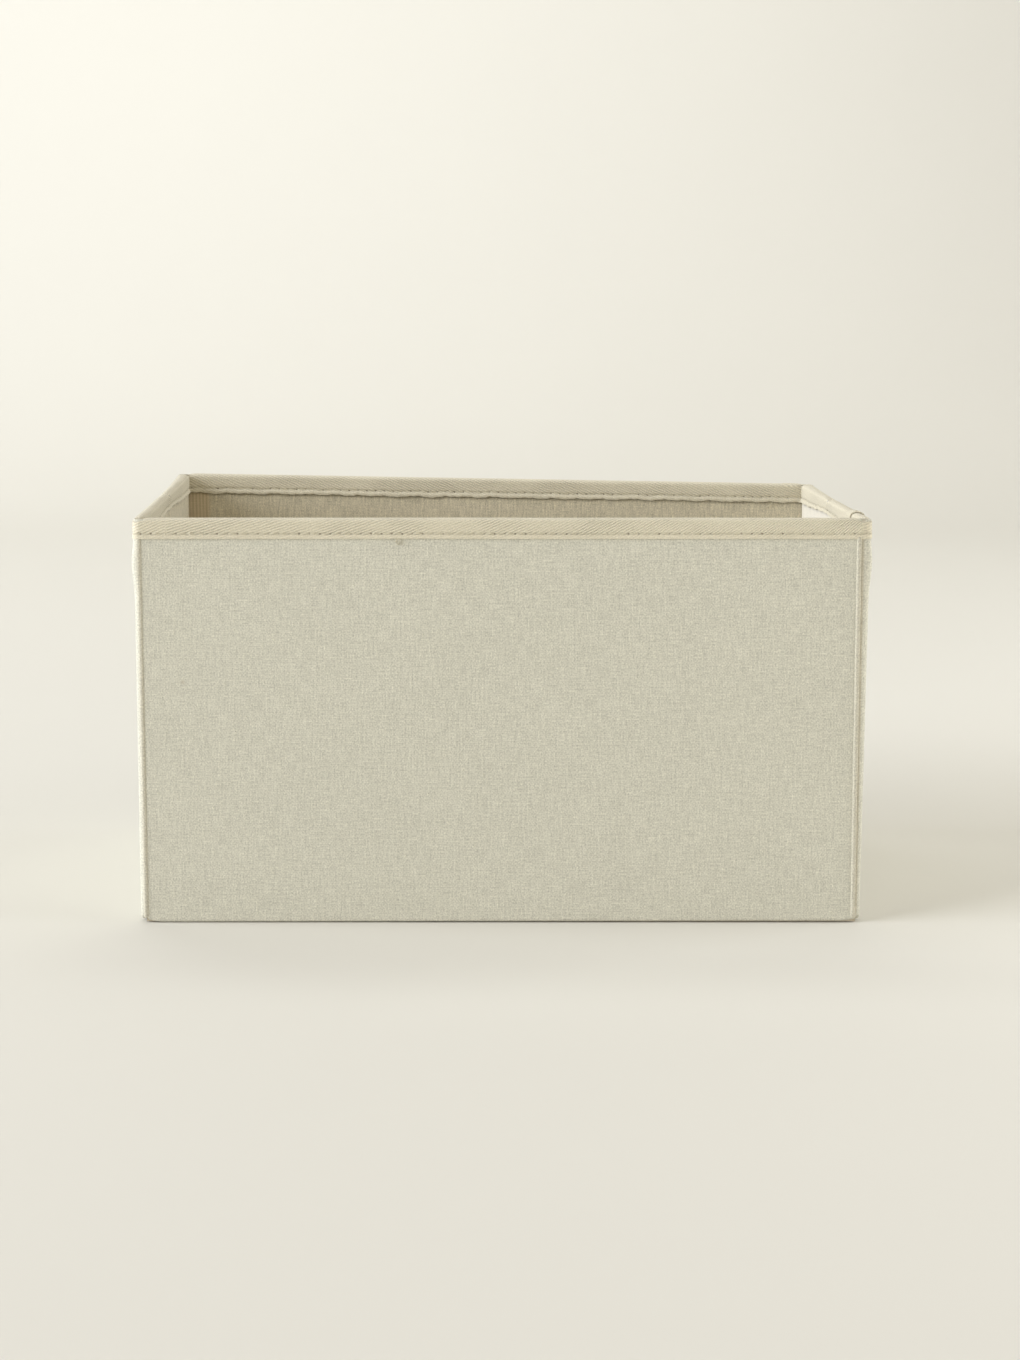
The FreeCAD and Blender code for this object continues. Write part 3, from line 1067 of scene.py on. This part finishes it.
def base_pieces():
    """The base's lining on each half, with its two gussets, and the bottom cloth under all."""
    for body, facing in (("base_back", 1), ("base_front", -1)):
        node = body + "_lining"
        low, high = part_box(node)
        wall_y, middle_y = (high.y, low.y) if facing > 0 else (low.y, high.y)
        depth = abs(wall_y - middle_y)
        mitre = high.x - depth
        corners = [(-high.x, wall_y), (high.x, wall_y), (mitre, middle_y), (-mitre, middle_y)]
        # corners run anticlockwise, so that the face is on top
        thing = base_sheet(node, corners[::-facing], BASE_HIGH, body, base_cloth)
        for side_name, side in (("left", -1), ("right", 1)):
            node = f"{body}_{side_name}_gusset"
            low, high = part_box(node)
            near_x, far_x = (high.x, low.x) if side > 0 else (low.x, high.x)
            near_y, far_y = (low.y, high.y) if facing > 0 else (high.y, low.y)
            tip_x = near_x * 0.999 + far_x * 0.001  # a triangle with a very short fourth side
            corners = [(near_x, near_y), (near_x, far_y), (tip_x, far_y), (far_x, near_y)]
            thing = base_sheet(node, corners[:: side * facing], BASE_HIGH, body, base_cloth)
    low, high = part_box("bottom_cover")
    corners = [(low.x, low.y), (high.x, low.y), (high.x, high.y), (low.x, high.y)]
    thing = base_sheet("bottom_cover", corners, high.z, "back", bottom_cloth)
    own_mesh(thing)


def wall_pieces():
    """Every layer of every wall."""
    # these cover a crease or the open corner, and replace no CAD node
    between = ("back_right_corner", "right_crease", "left_crease")
    for part, stretch in COVER_PARTS.items():
        thing = cover_piece(part, *stretch)
        if part not in between:
            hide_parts(part + "_cover")
    for part, stretch in LAYER_PARTS.items():
        lining = lining_piece(part, *stretch)
        tape = tape_piece(part, *stretch)
        stitches = stitch_piece(part, *stretch)
        if part not in between:
            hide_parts(part + "_lining")
            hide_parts(part + "_binding")
            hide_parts(part + "_binding_stitches")
    lap_piece()
    # wall, side, where the ridge ends along the ring, which way it runs, its height
    for wall, side, u_edge, direction, height in (
        ("front", "left", STOPS[0] - 2.0 * MM, -1, 0.35 * MM),
        ("front", "right", STOPS[1], 1, 0.6 * MM),
        ("back", "right", STOPS[4], -1, 0.5 * MM),
        ("back", "left", STOPS[5], 1, 0.5 * MM),
    ):
        seam_piece(f"{wall}_{side}_corner_seam", u_edge, direction, height, wall)


def board_finish():
    """The hidden boards stay as they are, with a board material."""
    for name, node in frame["nodes"].items():
        if name.endswith("_board"):
            node.data.materials.clear()
            node.data.materials.append(board)


# Stage, light and camera


def stage_material():
    """Plain warm grey with very faint clouds."""
    graph = Graph("studio_sweep")
    x, y, _ = graph.place()
    cloudy = graph.noise(x, y, 3, 3, 2.0, 1.0)
    brightness = graph.total(1.0, graph.swing(cloudy, 0.02))
    return graph.finish(graph.tint(STAGE_COLOUR, brightness), 0.0, 0.9, 0.0)


def build_stage():
    """A pale floor that sweeps up into a backdrop well behind the bin."""
    front_y, sweep_y, sweep_radius, height, width = -5.0, 1.6, 1.4, 4.0, 5.0
    angles = np.radians(np.linspace(0, 90, 24))
    path = [(front_y, 0.0), (0.0, 0.0)]
    path += [(sweep_y + sweep_radius * math.sin(a), sweep_radius * (1 - math.cos(a))) for a in angles]
    path += [(sweep_y + sweep_radius, height)]
    points = np.array([(x, y, z) for x in (-width, width) for y, z in path])
    n = len(path)
    faces = [(i, i + n, i + n + 1, i + 1) for i in range(n - 1)]
    floor = build_mesh("studio_sweep", points, faces, {"UVMap": points[:, :2]}, stage_material())


def build_light():
    """One large soft light from the left, weak fills, and a dim warm surround."""
    world = bpy.data.worlds.new("surround")
    bpy.context.scene.world = world
    world.use_nodes = True
    background = world.node_tree.nodes["Background"]
    background.inputs["Color"].default_value = (1.0, 0.88, 0.7, 1.0)
    background.inputs["Strength"].default_value = 0.35
    # name, place, aim, size, power in watts, colour
    for name, place, aim, size, power, colour in (
        ("key_left", (-3.25, -0.95, 1.2), (0, 0, 0.12), (2.75, 2.2), 185, (0.96, 0.993, 1.06)),
        ("right_fill", (1.8, 0.1, 1.0), (0, 0, 0.1), (1.6, 1.4), 16.5, (0.96, 0.997, 1.03)),
        ("right_low", (1.3, -0.3, 0.24), (0.1, 0, 0.12), (0.8, 0.36), 6.8, (1.0, 0.99, 0.98)),
        ("front_high", (0.2, -2.4, 1.5), (0, 0, 0.1), (2.4, 1.2), 6, (1.05, 1.0, 0.85)),
        ("backdrop_fill", (-0.4, 1.2, 2.6), (0, 2.8, 0.7), (2.4, 1.2), 32, (0.97, 0.995, 1.0)),
    ):
        light = bpy.data.lights.new(name, "AREA")
        light.shape = "RECTANGLE"
        light.size, light.size_y = size
        light.energy = power
        light.color = colour
        thing = bpy.data.objects.new(name, light)
        thing.location = place
        thing.rotation_euler = (Vector(aim) - Vector(place)).to_track_quat("-Z", "Y").to_euler()
        thing.visible_camera = False
        bpy.context.scene.collection.objects.link(thing)
    view = bpy.context.scene.view_settings
    view.view_transform = "Standard"
    view.look = "None"


def build_camera():
    """In front of the bin, a little left of its middle, looking slightly down."""
    data = bpy.data.cameras.new("camera")
    data.lens = 62.3
    data.sensor_width = 36
    data.shift_x = 0.0393
    camera = bpy.data.objects.new("camera", data)
    camera.location = (-0.0219, -1.2205, 0.3202)
    down = 10.06  # degrees
    camera.rotation_euler = (math.radians(90 - down), 0, 0)
    bpy.context.scene.collection.objects.link(camera)
    bpy.context.scene.camera = camera


build_camera()
build_light()
build_stage()
wall_pieces()
base_pieces()
board_finish()

bpy.context.view_layer.update()
